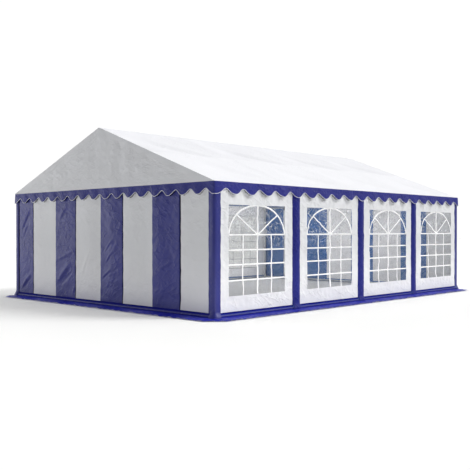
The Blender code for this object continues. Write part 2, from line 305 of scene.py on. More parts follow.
def cloth(name, us, vs, place, materials, paint=None, drop=None, lengths=None):
    """A sheet over the grid lines us and vs, as an object.

    place turns arrays of u and v into points. paint and drop take the middles of
    the faces, and give each one's material number, or whether it is left out.
    """
    u, v = np.meshgrid(us, vs)
    points = np.stack(np.broadcast_arrays(*place(u, v)), axis=-1).reshape(-1, 3)
    index = np.arange(u.size).reshape(u.shape)
    corners = (index[:-1, :-1], index[:-1, 1:], index[1:, 1:], index[1:, :-1])
    quads = np.stack(corners, axis=-1).reshape(-1, 4)
    middle_u, middle_v = np.meshgrid((us[1:] + us[:-1]) / 2, (vs[1:] + vs[:-1]) / 2)
    middle_u, middle_v = middle_u.ravel(), middle_v.ravel()
    painted = paint(middle_u, middle_v) if paint else np.zeros(len(quads), int)
    if drop:
        kept = ~drop(middle_u, middle_v)
        quads, painted = quads[kept], painted[kept]
    used, compact = np.unique(quads, return_inverse=True)
    quads = compact.reshape(-1, 4)
    mesh = bpy.data.meshes.new(name)
    mesh.from_pydata(points[used].tolist(), [], quads.tolist())
    for mat in materials:
        mesh.materials.append(mat)
    mesh.polygons.foreach_set("material_index", painted.astype(np.int32))
    flat = lengths(u, v) if lengths else (u, v)
    flat = np.stack(np.broadcast_arrays(*flat), axis=-1).reshape(-1, 2)[used]
    layer = mesh.uv_layers.new(name="cut")
    layer.data.foreach_set("uv", flat[quads.ravel()].astype(np.float32).ravel())
    mesh.shade_smooth()
    mesh.update()
    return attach(add_object(name, mesh), "root")


def add_object(name, data):
    """A new object in the scene, for a mesh, a curve, a light or a camera."""
    obj = bpy.data.objects.new(name, data)
    bpy.context.scene.collection.objects.link(obj)
    return obj


class Nodes:
    """A short way to build a material's nodes."""

    def __init__(self, tree):
        self.tree = tree

    def add(self, kind, settings=None, **inputs):
        """A node, its settings, and its inputs by name."""
        node = self.tree.nodes.new("ShaderNode" + kind)
        for key, value in (settings or {}).items():
            setattr(node, key, value)
        for key, value in inputs.items():
            self.put(node, key.replace("_", " "), value)
        return node

    def put(self, node, name, value):
        """Fills a node's input, by name or number, with a value or from a socket."""
        if isinstance(value, bpy.types.NodeSocket):
            self.tree.links.new(value, node.inputs[name])
        else:
            node.inputs[name].default_value = value

    def combine(self, kind, operation, *values):
        """Arithmetic on numbers or vectors, which takes its values in order."""
        node = self.add(kind, {"operation": operation})
        for number, value in enumerate(values):
            self.put(node, number, value)
        return node.outputs[0]

    def place(self):
        """Places in an object's own metres."""
        return self.add("TexCoord").outputs["Object"]

    def cut(self):
        """Places on a sheet before it is hung, in metres."""
        return self.add("UVMap", {"uv_map": "cut"}).outputs["UV"]

    def noise(self, place, scale, **inputs):
        """A cloudy field, around one half."""
        return self.add("TexNoise", Vector=place, Scale=scale, **inputs).outputs["Fac"]

    def stretch(self, value, start, end, low=0.0, high=1.0, kind="LINEAR"):
        """A value's run from start to end, made to run from low to high."""
        span = {"From_Min": start, "From_Max": end, "To_Min": low, "To_Max": high}
        node = self.add("MapRange", {"interpolation_type": kind}, Value=value, **span)
        return node.outputs["Result"]

    def tones(self, factor, dark, light):
        """A colour between two, by a factor."""
        node = self.add("ValToRGB", Fac=factor)
        node.color_ramp.elements[0].color = (*dark, 1.0)
        node.color_ramp.elements[1].color = (*light, 1.0)
        return node.outputs["Color"]

    def bump(self, height, strength, distance, normal=None):
        """The normal after a bump, laid over the normal of an earlier one."""
        node = self.add("Bump", Strength=strength, Distance=distance, Height=height)
        if normal is not None:
            self.put(node, "Normal", normal)
        return node.outputs["Normal"]


def new_material(name, roughness, metallic=0.0, specular=0.5):
    """An empty material with its Principled shader's plain numbers set."""
    mat = bpy.data.materials.new(name)
    mat.use_nodes = True
    shader = mat.node_tree.nodes["Principled BSDF"]
    shader.inputs["Roughness"].default_value = roughness
    shader.inputs["Metallic"].default_value = metallic
    shader.inputs["Specular IOR Level"].default_value = specular
    return mat, Nodes(mat.node_tree), shader


def glow(shader, strength):
    """A white glow of its own."""
    shader.inputs["Emission Color"].default_value = (1.0, 1.0, 1.0, 1.0)
    shader.inputs["Emission Strength"].default_value = strength


def cover(name, colour, shade, roughness, crinkle, specular):
    """Coated cloth: a fine weave under the coat, shallow crinkles, and faint dust."""
    mat, nodes, shader = new_material(name, roughness, specular=specular)
    cut = nodes.cut()
    place = nodes.place()
    cloudy = nodes.noise(place, 1.7, Detail=5.0, Roughness=0.6)
    tone = nodes.add("Mix", {"data_type": "RGBA"}, Factor=nodes.stretch(cloudy, 0.3, 0.7))
    nodes.put(tone, MIX_FIRST, (*colour, 1.0))
    nodes.put(tone, MIX_SECOND, (*shade, 1.0))
    nodes.put(shader, "Base Color", tone.outputs[MIX_RESULT])
    fine = nodes.noise(place, 26.0, Detail=6.0, Roughness=0.62)
    rough = nodes.stretch(fine, 0.3, 0.7, low=roughness - 0.06, high=roughness + 0.08)
    nodes.put(shader, "Roughness", rough)
    normal = weave_bump(nodes, cut)
    normal = facet_bump(nodes, place, crinkle, normal)
    for turn in (0.5, -0.65):
        lines = strokes(nodes, cut, turn, size=0.12, patch=2.2, start=0.36)
        normal = nodes.bump(lines, crinkle, 0.016, normal)
    nodes.put(shader, "Normal", normal)
    return mat


def weave_bump(nodes, cut):
    """The threads of the cloth, both ways."""
    normal = None
    for direction in ("X", "Y"):
        threads = nodes.add(
            "TexWave",
            {"bands_direction": direction},
            Vector=cut,
            Scale=110.0,
            Distortion=0.6,
            Detail=1.0,
        )
        normal = nodes.bump(threads.outputs["Fac"], 0.05, 0.0006, normal)
    return normal


def facet_bump(nodes, place, crinkle, normal):
    """Soft facets of crinkled cloth, large and small."""
    sway = (0.35, 0.35, 0.35)
    for scale, depth in ((4.0, 0.026), (11.0, 0.006)):
        wander = nodes.add("TexNoise", Vector=place, Scale=scale * 0.7, Detail=2.0)
        wander = wander.outputs["Color"]
        shifted = nodes.combine("VectorMath", "MULTIPLY_ADD", wander, sway, place)
        facets = nodes.add(
            "TexVoronoi", {"feature": "SMOOTH_F1"}, Vector=shifted, Scale=scale, Smoothness=0.25
        )
        normal = nodes.bump(facets.outputs["Distance"], crinkle, depth, normal)
    return normal


def strokes(nodes, cut, turn, size, patch, start):
    """Short thin lines that run at an angle over a sheet, in patches: 0 to 1."""
    turned = nodes.add("Mapping", {"vector_type": "TEXTURE"}, Vector=cut)
    turned.inputs["Rotation"].default_value = (0, 0, turn)
    turned.inputs["Scale"].default_value = (3 * size, size, 1)
    turned = turned.outputs["Vector"]
    plane = {"noise_dimensions": "2D"}
    wander = nodes.add("TexNoise", plane, Vector=turned, Scale=0.9).outputs["Color"]
    bent = nodes.combine("VectorMath", "MULTIPLY_ADD", wander, (1.2, 1.2, 0.0), turned)
    cells = nodes.add(
        "TexVoronoi",
        {"voronoi_dimensions": "2D", "feature": "DISTANCE_TO_EDGE"},
        Vector=bent,
        Scale=1.0,
    )
    edge = cells.outputs["Distance"]
    line = nodes.stretch(edge, 0.0, 0.13, low=1.0, high=0.0, kind="SMOOTHSTEP")
    where = nodes.add("TexNoise", plane, Vector=cut, Scale=patch, Detail=2.0)
    patches = nodes.stretch(where.outputs["Fac"], start, start + 0.14)
    return nodes.combine("Math", "MULTIPLY", line, patches)


def film_material():
    """Clear soft film with a grey haze, and small wrinkles that catch light, their strokes
    whitened as painted highlights, most high on the film.
    """
    mat, nodes, shader = new_material("window_film", 0.12)
    cut = nodes.cut()
    wrinkles = [
        strokes(nodes, cut, turn, size=0.055, patch=patch, start=0.42)
        for turn, patch in ((0.8, 2.2), (-0.7, 3.2))
    ]
    both = nodes.combine("Math", "MAXIMUM", *wrinkles)
    # Painted highlights: the wrinkles' strokes are whiter and less clear, most of all high on the
    # film
    height = nodes.add("SeparateXYZ", Vector=cut).outputs["Y"]
    upper = nodes.stretch(height, 1.0, 1.35, low=0.1, high=1.0)
    creases_and_highlights = nodes.combine("Math", "MULTIPLY", both, upper)
    nodes.put(shader, "Base Color", nodes.tones(creases_and_highlights, (0.15, 0.17, 0.18), (0.78, 0.81, 0.83)))
    cloudy = nodes.noise(nodes.place(), 3.0, Detail=4.0)
    haze = nodes.stretch(cloudy, 0.3, 0.7, low=0.31, high=0.38)
    whitened = nodes.combine("Math", "MULTIPLY_ADD", creases_and_highlights, 0.30, haze)
    nodes.put(shader, "Alpha", whitened)
    nodes.put(shader, "Normal", nodes.bump(creases_and_highlights, 0.8, 0.010))
    return mat


def bar_material():
    """The white bars welded on the film: coated cloth, a little glossy, with a faint painted glow
    that lightens them.
    """
    mat, nodes, shader = new_material("window_bar", 0.38)
    # Painted light: a faint glow that lightens the bars
    glow(shader, 0.13)
    fine = nodes.noise(nodes.place(), 30.0, Detail=4.0)
    nodes.put(shader, "Base Color", nodes.tones(fine, (0.93, 0.93, 0.94), (0.97, 0.97, 0.97)))
    nodes.put(shader, "Normal", nodes.bump(fine, 0.1, 0.001))
    return mat


def piping_material():
    """The grey-white cord edging sewn along the scallops."""
    mat, nodes, shader = new_material("piping", 0.5)
    fine = nodes.noise(nodes.place(), 60.0, Detail=3.0)
    nodes.put(shader, "Base Color", nodes.tones(fine, (0.72, 0.72, 0.79), (0.82, 0.82, 0.88)))
    return mat


def steel_material():
    """Galvanised tube: dull grey with the coating's crystals."""
    mat, nodes, shader = new_material("galvanised_steel", 0.42, metallic=0.9)
    crystals = nodes.add("TexVoronoi", Vector=nodes.place(), Scale=70.0)
    crystals = crystals.outputs["Distance"]
    nodes.put(shader, "Base Color", nodes.tones(crystals, (0.46, 0.48, 0.50), (0.66, 0.68, 0.70)))
    rough = nodes.stretch(crystals, 0.0, 1.0, low=0.32, high=0.55)
    nodes.put(shader, "Roughness", rough)
    return mat


def floor_material():
    """A pale matt floor with faint clouds."""
    mat, nodes, shader = new_material("pale_floor", 0.9, specular=0.1)
    glow(shader, FLOOR_GLOW)
    faint = nodes.noise(nodes.place(), 0.8, Detail=3.0)
    nodes.put(shader, "Base Color", nodes.tones(faint, (0.90, 0.90, 0.89), (0.93, 0.93, 0.92)))
    return mat


def backdrop_material():
    """A plain white that gives its own light, and takes none."""
    mat, _, shader = new_material("pale_backdrop", 1.0, specular=0.0)
    shader.inputs["Base Color"].default_value = (0.0, 0.0, 0.0, 1.0)
    glow(shader, DOME_GLOW)
    return mat


# The cover's cloths: colour, its darker shade, roughness, depth of crinkles, and gloss
WHITE = cover("white_cover", (0.85, 0.86, 0.88), (0.82, 0.83, 0.855), 0.46, 0.35, 0.3)
# The roof's two halves are one cloth, painted paler below the rail halfway up and darker above it:
# painted light and shade
ROOF_PAINTED_LIGHT = cover("roof_painted_light", (0.92, 0.925, 0.96), (0.90, 0.905, 0.94), 0.46, 0.2, 0.3)
ROOF_PAINTED_SHADE = cover("roof_painted_shade", (0.885, 0.89, 0.925), (0.865, 0.87, 0.91), 0.46, 0.2, 0.3)
# The end walls' and triangles' white is set greyer than the long walls' white: painted shade
END_WHITE_PAINTED_SHADE = cover("end_wall_painted_shade", (0.745, 0.757, 0.783), (0.722, 0.733, 0.763), 0.46, 0.14, 0.3)
TRIANGLE_PAINTED_SHADE = cover("triangle_painted_shade", (0.708, 0.718, 0.747), (0.689, 0.699, 0.728), 0.46, 0.14, 0.3)
# Painted shade: the white cloth close behind the valance, darkened
SHADED = cover("shaded_cover", (0.22, 0.22, 0.23), (0.18, 0.18, 0.19), 0.6, 0.2, 0.1)
BLUE = cover("blue_cover", (0.030, 0.035, 0.235), (0.026, 0.031, 0.206), 0.42, 0.2, 0.34)
# Painted light: the blue's inner face, much lighter and greener, as if lit through the cloth
PAINTED_BACKLIT_BLUE = cover("painted_backlit_blue", (0.034, 0.125, 0.37), (0.03, 0.11, 0.34), 0.6, 0.2, 0.1)
VALANCE_BLUE = cover("valance_cover", (0.024, 0.028, 0.24), (0.02, 0.024, 0.205), 0.46, 0.28, 0.2)
STRIP_BLUE = cover("strip_cover", (0.015, 0.019, 0.215), (0.012, 0.016, 0.18), 0.46, 0.28, 0.17)
# Painted shade: the hem's upper band, set darker and without gloss
HEM_PAINTED_SHADE = cover("hem_painted_shade", (0.009, 0.012, 0.245), (0.007, 0.010, 0.205), 0.6, 0.2, 0.06)
# Painted shade: near-black blue in the gables' seams, their slit and behind their valance
SEAM_PAINTED_SHADE = cover("seam_painted_shade", (0.006, 0.007, 0.045), (0.005, 0.006, 0.035), 0.7, 0.2, 0.1)
BRIGHT_BLUE = cover("flap_cover", (0.012, 0.019, 0.43), (0.009, 0.014, 0.34), 0.45, 0.3, 0.2)
FILM = film_material()
BAR = bar_material()
PIPE = piping_material()
STEEL = steel_material()


def bend(side, u, out, z, radius=CORNER_RADIUS):
    """Points of a sheet that turns half of each corner and stands out from the wall."""
    half = half_of(side)
    turn = math.pi / 4 * np.clip(1 - (half - np.abs(u)) / radius, 0.0, 1.0)
    centre = half - radius
    round_u = np.sign(u) * (centre + (radius + out) * np.sin(turn))
    along = np.where(turn > 0, round_u, u)
    return to_world(side, along, (radius + out) * np.cos(turn) - radius, z)


def hem_roll(z):
    """The hem round the ground rail: a full roll under a pinched seam."""
    across = (z - ROLL_Z) / ROLL_RADIUS
    roll = ROLL_RADIUS * np.sqrt(np.clip(1 - across**2, 0, 1))
    return roll - PINCH * near(z, PINCH_Z, PINCH_HALF)


def strip_out(from_post, z, bulge):
    """The cover over a post: a soft column that flares over the hem at its foot."""
    column = bulge * near(from_post, 0.0, COLUMN_HALF) * smooth(0.0, 0.1, z)
    return column + STRIP_LIFT + FLARE * (1 - smooth(0.0, FLARE_Z, z)) ** 1.2


def with_strips(wall, from_post, z, bulge, width=POST_STRIP):
    """A wall's shape with the post strips laid over it."""
    strip = 1 - smooth(width - 0.012, width + 0.004, from_post)
    return wall * (1 - strip) + strip_out(from_post, z, bulge) * strip


def held_down(z):
    """How free a wall is to fold at a height: not at the hem, nor at the eave."""
    return smooth(HEM_Z, FREE_LOW, z) * (1 - smooth(*FREE_HIGH, z))


def wall_rows(stops):
    """Rows up a wall: close together over the hem's roll, then a step apart."""
    return np.append(np.linspace(WALL_BOTTOM, HEM_Z, 22), grid_lines(stops, WALL_STEP)[1:])


# A gable's folds: start, end, width and height, from the tent's right side
GABLE_FOLDS = (
    ((4.42, 0.36), (3.93, 0.76), 0.050, 0.017),
    ((4.30, 0.30), (3.86, 0.60), 0.030, -0.009),
    ((4.35, 1.58), (4.03, 1.88), 0.035, 0.011),
    ((4.44, 0.78), (3.82, 0.99), 0.030, 0.007),
    ((3.91, 0.06), (3.80, 0.34), 0.020, 0.008),
    ((5.77, 1.38), (5.42, 1.82), 0.030, 0.014),
    ((5.74, 1.16), (5.42, 1.54), 0.028, -0.012),
    ((5.78, 0.16), (5.38, 0.48), 0.035, 0.020),
    ((3.60, 0.50), (3.25, 1.10), 0.025, 0.006),
    ((1.46, 1.24), (1.28, 1.35), 0.014, 0.006),
    ((1.31, 1.32), (0.96, 1.40), 0.014, 0.006),
    ((1.34, 0.87), (0.97, 0.95), 0.014, -0.006),
    ((1.36, 0.71), (0.98, 0.86), 0.018, 0.009),
    ((1.22, 0.64), (1.00, 0.73), 0.012, 0.006),
    ((1.14, 0.40), (0.92, 0.26), 0.018, 0.009),
    ((1.45, 0.33), (1.29, 0.40), 0.014, 0.006),
    ((2.90, 1.26), (2.74, 1.36), 0.012, 0.006),
    ((2.87, 0.98), (2.60, 1.22), 0.014, 0.008),
    ((2.84, 0.78), (2.58, 1.03), 0.014, 0.008),
    ((2.97, 0.49), (2.65, 0.68), 0.016, 0.009),
    ((2.67, 0.91), (2.54, 1.02), 0.012, 0.005),
)


def from_right(side, u):
    """Distance along a gable from the tent's right side, which is +X."""
    return HALF_WIDTH - u if side == "front" else HALF_WIDTH + u


def gable_out(side, w, z):
    """How far a gable wall stands out at a distance w from the right side."""
    seed = 11 if side == "front" else 12
    out = 0.005 * ripple(w, 0.25 * z, seed, 0.8, spread=0.5)
    out = out + 0.0018 * ripple(w, z, seed + 2, 0.2)
    for start, end, width, height in GABLE_FOLDS:
        if side == "front":
            out = out + crease(w, z, start, end, width, height)
        else:
            # The back has the front's folds, moved and pressed the other way
            moved = (start[0] - 0.35, start[1] + 0.15), (end[0] - 0.3, end[1] + 0.22)
            out = out - crease(w, z, *moved, width, height)
    middles = [(low + high) / 2 for low, high in zip(BLUE_STARTS, STRIPE_EDGES[2::2])]
    places = [(middle, height) for middle in middles for height in (0.4, 0.8, 1.2)]
    small = crinkles(w, z, seed + 4, places, count=110, spread=0.2, size=0.0036, heading=2.5)
    out = out + small
    for edge in BLUE_STARTS:
        fall = np.clip((w - edge) / SEAM_FALL, 0, 1)
        out = out - SEAM_DEPTH * (1 - fall) * (w > edge) - 0.004 * near(w, edge, 0.01)
    wall = out * held_down(z) + hem_roll(z)
    slit = smooth(SLIT[0], SLIT[0] + SLIT_EDGE, w) * (1 - smooth(SLIT[1] - SLIT_EDGE, SLIT[1], w))
    wall = wall - SLIT_DEPTH * slit * smooth(0.09, 0.16, z)
    return with_strips(wall, np.minimum(w, 2 * HALF_WIDTH - w), z, CORNER_BULGE)


def gable_paint(side, u, z):
    """The number of a gable wall's material at each place, with painted shade in the seams, the
    slit, the band over the hem and behind the valance.
    """
    w = from_right(side, u)
    stripe = sum((w > edge).astype(int) for edge in STRIPE_EDGES)
    blue = (stripe % 2 == 0) | (z < HEM_Z)
    in_seam = sum((w > edge) & (w < edge + SEAM) for edge in BLUE_STARTS) > 0
    in_slit = (w > SLIT[0]) & (w < SLIT[1])
    # Painted shade behind the valance, over the wall's top
    behind = z > EAVE_Z - valance_depth(side, u)
    between_posts = (w > POST_STRIP) & (w < 2 * HALF_WIDTH - POST_STRIP)
    hem_shade = (z < HEM_Z) & (z > SHADE_Z) & between_posts
    # Painted shade on the blue: near-black in the seams, the slit and behind the valance
    dark = blue & (in_slit | in_seam | behind) & (z > HEM_Z)
    choices = [hem_shade, dark, blue, behind]
    return np.select(choices, [HEM_SHADE, DARK_PART, BLUE_PART, VALANCE_SHADE], PLAIN)


def make_gable_wall(side):
    """A striped end wall, and the inner face of its blue parts, painted a light blue as painted
    light through the cloth.
    """
    sign = 1 if side == "front" else -1
    seams = [edge + SEAM for edge in BLUE_STARTS]
    stops = sorted(sign * (HALF_WIDTH - w) for w in (*STRIPE_EDGES, *SLIT, *seams))
    us = grid_lines([-HALF_WIDTH, *stops, HALF_WIDTH], WALL_STEP)
    vs = wall_rows([HEM_Z, WALL_TOP])

    def place(u, z, gap=0.0):
        return bend(side, u, gable_out(side, from_right(side, u), z) - gap, z)

    def place_inside(u, z):
        return place(u, z, INNER_GAP)

    def paint(u, z):
        return gable_paint(side, u, z)

    def white(u, z):
        return np.isin(paint(u, z), (PLAIN, VALANCE_SHADE))

    materials = [END_WHITE_PAINTED_SHADE, BLUE, SEAM_PAINTED_SHADE, HEM_PAINTED_SHADE, SHADED]
    wall = cloth(f"striped_wall_{side}", us, vs, place, materials, paint)
    name = f"striped_wall_inside_{side}"
    inside = cloth(name, us, vs, place_inside, [PAINTED_BACKLIT_BLUE], drop=white)
    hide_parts(f"gable_wall_{side}")


# The right side's folds: start, end, width and height, along the side's own line
PANEL_FOLDS = (
    ((-1.92, 1.365), (-1.12, 1.572), 0.022, 0.013),
    ((-1.92, 1.325), (-1.20, 1.510), 0.020, -0.008),
    ((1.82, 2.03), (1.02, 1.30), 0.022, 0.012),
    ((2.29, 1.77), (2.43, 1.57), 0.020, 0.009),
    ((2.41, 1.59), (2.52, 1.76), 0.020, -0.008),
    ((0.28, 0.93), (0.44, 1.03), 0.018, 0.007),
    ((-2.29, 1.00), (-2.08, 0.84), 0.018, 0.008),
    ((-3.62, 1.72), (-3.30, 1.45), 0.020, 0.007),
    ((-3.58, 1.55), (-3.25, 1.33), 0.020, -0.006),
)


def around_windows():
    """Places at the windows' corners and beside them, where the cloth is pulled."""
    heights = (WINDOW_LOW - 0.05, (WINDOW_LOW + SPRING_Z) / 2, SPRING_Z, WINDOW_HIGH + 0.06)
    centres = [BAY * i - HALF_LENGTH + BAY / 2 for i in range(BAYS)]
    return [
        (centre + sign * (WINDOW_HALF + 0.06), height)
        for centre in centres
        for sign in (-1, 1)
        for height in heights
    ]


def panel_out(side, u, z):
    """How far a long wall stands out, between and over its posts."""
    seed = 31 if side == "right" else 32
    posts = [BAY * i - HALF_LENGTH for i in range(BAYS + 1)]
    free = 1 - sum(near(u, post, POST_REACH) for post in posts)
    out = 0.004 * ripple(0.6 * u, z, seed, 0.5) * free
    out = out + 0.0026 * ripple(u, z, seed + 2, 0.13) * free
    pulled = crinkles(u, z, seed + 4, around_windows(), count=260, spread=0.12, size=0.0060)
    out = out + pulled * free
    for start, end, width, height in PANEL_FOLDS:
        if side == "left":
            # The right side's folds, mirrored and a little lower
            start, end = (0.1 - start[0], start[1] - 0.08), (0.1 - end[0], end[1] - 0.08)
        out = out + crease(u, z, start, end, width, height)
    gathers = np.cos(2 * math.pi * u / GATHER_LENGTH + 3 * np.sin(u * 5))
    out = out + GATHER_DEPTH * (gathers * smooth(*GATHER_Z, z)) * free
    from_post = np.minimum.reduce([np.abs(u - post) for post in posts])
    at_corner = np.abs(u) > HALF_LENGTH - BAY / 2
    bulge = np.where(at_corner, CORNER_BULGE, MID_BULGE)
    width = np.where(at_corner, CORNER_STRIP, POST_STRIP)
    return with_strips(out * held_down(z) + hem_roll(z), from_post, z, bulge, width)


def from_window(u):
    """Distance along a long wall from the middle of the nearest window."""
    return np.abs((u + HALF_LENGTH) % BAY - BAY / 2)


def in_window(u, z):
    """Whether places on a long wall are in a window's opening."""
    return (from_window(u) < WINDOW_HALF) & (z > WINDOW_LOW) & (z < WINDOW_HIGH)


def border_lift(u, z):
    """The doubled cloth welded round each window."""
    past_end = np.maximum(WINDOW_LOW - z, z - WINDOW_HIGH)
    beyond = np.maximum(from_window(u) - WINDOW_HALF, past_end)
    return BORDER_LIFT * (1 - smooth(*BORDER_EDGE, beyond))


def bay_number(side, index):
    """The frame numbers bays from the front on both sides."""
    return index + 1 if side == "right" else BAYS - index


def strip_edges(index):
    """Where a panel's two post strips end: wider ones at the tent's corners."""
    low = BAY * index - HALF_LENGTH
    first = CORNER_STRIP if index == 0 else POST_STRIP
    last = CORNER_STRIP if index == BAYS - 1 else POST_STRIP
    return low + first, low + BAY - last


def make_panel_inside(side, index):
    """The inner face of a long wall where it isn't plain: hem, top, and behind the posts; hem and
    top are painted a light blue, as painted light through the cloth.
    """
    low = BAY * index - HALF_LENGTH
    low_strip, high_strip = strip_edges(index)
    us = grid_lines([low, low_strip], INSIDE_STEP)
    us = np.append(us, grid_lines([low_strip, high_strip], INSIDE_WIDE_STEP)[1:])
    us = np.append(us, grid_lines([high_strip, low + BAY], INSIDE_STEP)[1:])
    rows = grid_lines([INSIDE_LOW, BAND_Z, WALL_TOP], INSIDE_RISE)
    vs = np.append(np.linspace(WALL_BOTTOM, INSIDE_LOW, 19), rows[1:])

    def place(u, z):
        return bend(side, u, panel_out(side, u, z) - 2 * INNER_GAP, z)

    def banded(z):
        return (z < HEM_Z) | (z > BAND_Z)

    def paint(u, z):
        return banded(z).astype(int)

    def plain(u, z):
        return ~banded(z) & (u > low_strip) & (u < high_strip)

    name = f"window_panel_inside_{side}_{bay_number(side, index)}"
    inside = cloth(name, us, vs, place, [WHITE, PAINTED_BACKLIT_BLUE], paint, plain)
    return inside


def make_window_panel(side, index):
    """One bay of a long wall, with its window cut out, lapped over the next bay."""
    low = BAY * index - HALF_LENGTH
    high = low + BAY
    last = index == BAYS - 1
    reach = high if last else high + OVERLAP
    middle = low + BAY / 2
    low_strip, high_strip = strip_edges(index)
    stops = [low, low_strip, middle - WINDOW_HALF, middle + WINDOW_HALF]
    stops += [high_strip, *([] if last else [high]), reach]
    us = grid_lines(stops, WALL_STEP)
    vs = wall_rows([HEM_Z, WINDOW_LOW, WINDOW_HIGH, WALL_TOP])

    def place(u, z):
        lap = 0.0 if last else OVERLAP_LIFT * smooth(high - POST_STRIP, high - 0.03, u)
        return bend(side, u, panel_out(side, u, z) + border_lift(u, z) + lap, z)

    def paint(u, z):
        """Only the right side's shade behind the valance is painted, as the photo has it."""
        strip = (u < low_strip) | (u > high_strip)
        corner = np.abs(u) > HALF_LENGTH - CORNER_STRIP
        behind = (z > EAVE_Z - valance_depth(side, u)) & (side == "right")
        hem = z < HEM_Z
        choices = [corner, strip | (z > BAND_Z), hem & (z > SHADE_Z), hem, behind]
        return np.select(choices, [BLUE_PART, DARK_PART, HEM_SHADE, BLUE_PART, VALANCE_SHADE], PLAIN)

    number = bay_number(side, index)
    materials = [WHITE, BLUE, STRIP_BLUE, HEM_PAINTED_SHADE, SHADED]
    panel = cloth(f"window_panel_{side}_{number}", us, vs, place, materials, paint, in_window)
    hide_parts(f"window_wall_{side}_{number}")
    make_panel_inside(side, index)


def film_out(side, u, z, middle, seed):
    """The film behind a window's opening, with its own wrinkles."""
    from_side = WINDOW_HALF + FILM_LAP - np.abs(u - middle)
    from_end = np.minimum(z - WINDOW_LOW, WINDOW_HIGH - z) + FILM_LAP
    loose = smooth(FILM_LAP, 0.10, np.minimum(from_side, from_end))
    corners = [
        (middle + sign * WINDOW_HALF * 0.7, height)
        for sign in (-1, 1)
        for height in (0.55, 1.1, 1.55)
    ]
    out = 0.0034 * ripple(u, z, seed, 0.42)
    out = out + crinkles(u, z, seed + 1, corners, count=46, spread=0.16, size=0.0038)
    return panel_out(side, u, z) - FILM_BACK + out * loose - FILM_SLACK * loose


def make_film(side, index):
    """One window's clear film, and the bars on it."""
    middle = BAY * (index + 0.5) - HALF_LENGTH
    number = bay_number(side, index)
    seed = 100 + 10 * number + (5 if side == "left" else 0)
    half = WINDOW_HALF + FILM_LAP
    us = grid_lines([middle - half, middle + half], FILM_STEP)
    vs = grid_lines([WINDOW_LOW - FILM_LAP, WINDOW_HIGH + FILM_LAP], FILM_STEP)

    def place(u, z):
        return to_world(side, u, film_out(side, u, z, middle, seed), z)

    film = cloth(f"clear_film_{side}_{number}", us, vs, place, [FILM])
    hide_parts(f"window_film_{side}_{number}")
    make_bars(side, number, middle, seed)


def ribbon(path, width):
    """A flat strip along a path of (u, z) points: rows of them, three wide."""
    path = np.array(path, float)
    ahead = np.gradient(path, axis=0)
    ahead /= np.linalg.norm(ahead, axis=1)[:, None]
    across = np.stack([-ahead[:, 1], ahead[:, 0]], axis=1) * width / 2
    return np.stack([path + across, path, path - across], axis=1)


def straight(start, end):
    """Points along a straight bar."""
    us = np.linspace(start[0], end[0], STRAIGHT_POINTS)
    heights = np.linspace(start[1], end[1], STRAIGHT_POINTS)
    return list(zip(us, heights))


def bar_paths(middle):
    """The bars of one window: (points, width, lift above the film)."""
    reach = WINDOW_HALF - THIN_BAR / 3
    rise = WINDOW_HIGH - SPRING_Z

    def arch(angle):
        return middle + reach * math.cos(angle), SPRING_Z + rise * math.sin(angle)

    left, right = middle - WINDOW_HALF, middle + WINDOW_HALF
    bars = []
    for height in (*BAR_HEIGHTS, SPRING_Z):
        bars.append((straight((left, height), (right, height)), *CROSS_BAR))
    for sign in (-1, 1):
        u = middle + sign * QUARTER_PLACE
        bars.append((straight((u, WINDOW_LOW), (u, SPRING_Z)), *QUARTER_BAR))
        end = arch(math.pi / 2 - sign * DIAGONAL_ANGLE)
        bars.append((straight((middle, SPRING_Z), end), *DIAGONAL_BAR))
    bars.append((straight((middle, WINDOW_LOW), (middle, WINDOW_HIGH)), *CENTRE_BAR))
    bars.append(([arch(angle) for angle in np.linspace(0, math.pi, ARCH_POINTS)], *ARCH_BAR))
    return bars


def make_bars(side, number, middle, seed):
    """One window's bars, as thin strips that follow the film."""
    points, quads = [], []
    for path, width, lift in bar_paths(middle):
        rows = ribbon(path, width)
        u, z = rows[..., 0], np.clip(rows[..., 1], WINDOW_LOW, WINDOW_HIGH)
        out = film_out(side, u, z, middle, seed) + lift
        start = len(points)
        world = np.stack(np.broadcast_arrays(*to_world(side, u, out, z)), axis=-1)
        points += world.reshape(-1, 3).tolist()
        for i in range(len(path) - 1):
            for j in range(2):
                a = start + 3 * i + j
                quads.append((a, a + 1, a + 4, a + 3))
    mesh = bpy.data.meshes.new(f"bars_{side}_{number}")
    mesh.from_pydata(points, [], quads)
    mesh.materials.append(BAR)
    mesh.shade_smooth()
    obj = add_object(f"window_bars_{side}_{number}", mesh)
    thick = obj.modifiers.new("thickness", "SOLIDIFY")
    thick.thickness = BAR_THICKNESS
    thick.offset = 0.0
    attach(obj, "root")


def valance_phase(side, u):
    """Which scallop of a side's valance a place is in, whole at each notch."""
    first, spacing, count = NOTCHES_LONG if side in ("left", "right") else NOTCHES_GABLE
    half = half_of(side)
    position = u + half if side in ("right", "back") else half - u
    position = np.clip(position, 0, 2 * half)
    last = first + (count - 1) * spacing
    start = 0.5 * position / first - 0.5
    end = count - 1 + 0.5 * (position - last) / (2 * half - last)
    phase = (position - first) / spacing
    return np.where(position < first, start, np.where(position > last, end, phase))


def valance_depth(side, u):
    """How far a valance hangs below the eave: its scallops are rounder than a wave."""
    middle = (VALANCE_DEEP + VALANCE_SHALLOW) / 2
    swing = (VALANCE_DEEP - VALANCE_SHALLOW) / 2
    phase = valance_phase(side, u)
    lobe = -np.cos(2 * math.pi * phase)
    return middle + swing * (lobe - LOBE_ROUND * np.cos(4 * math.pi * phase) + LOBE_ROUND)


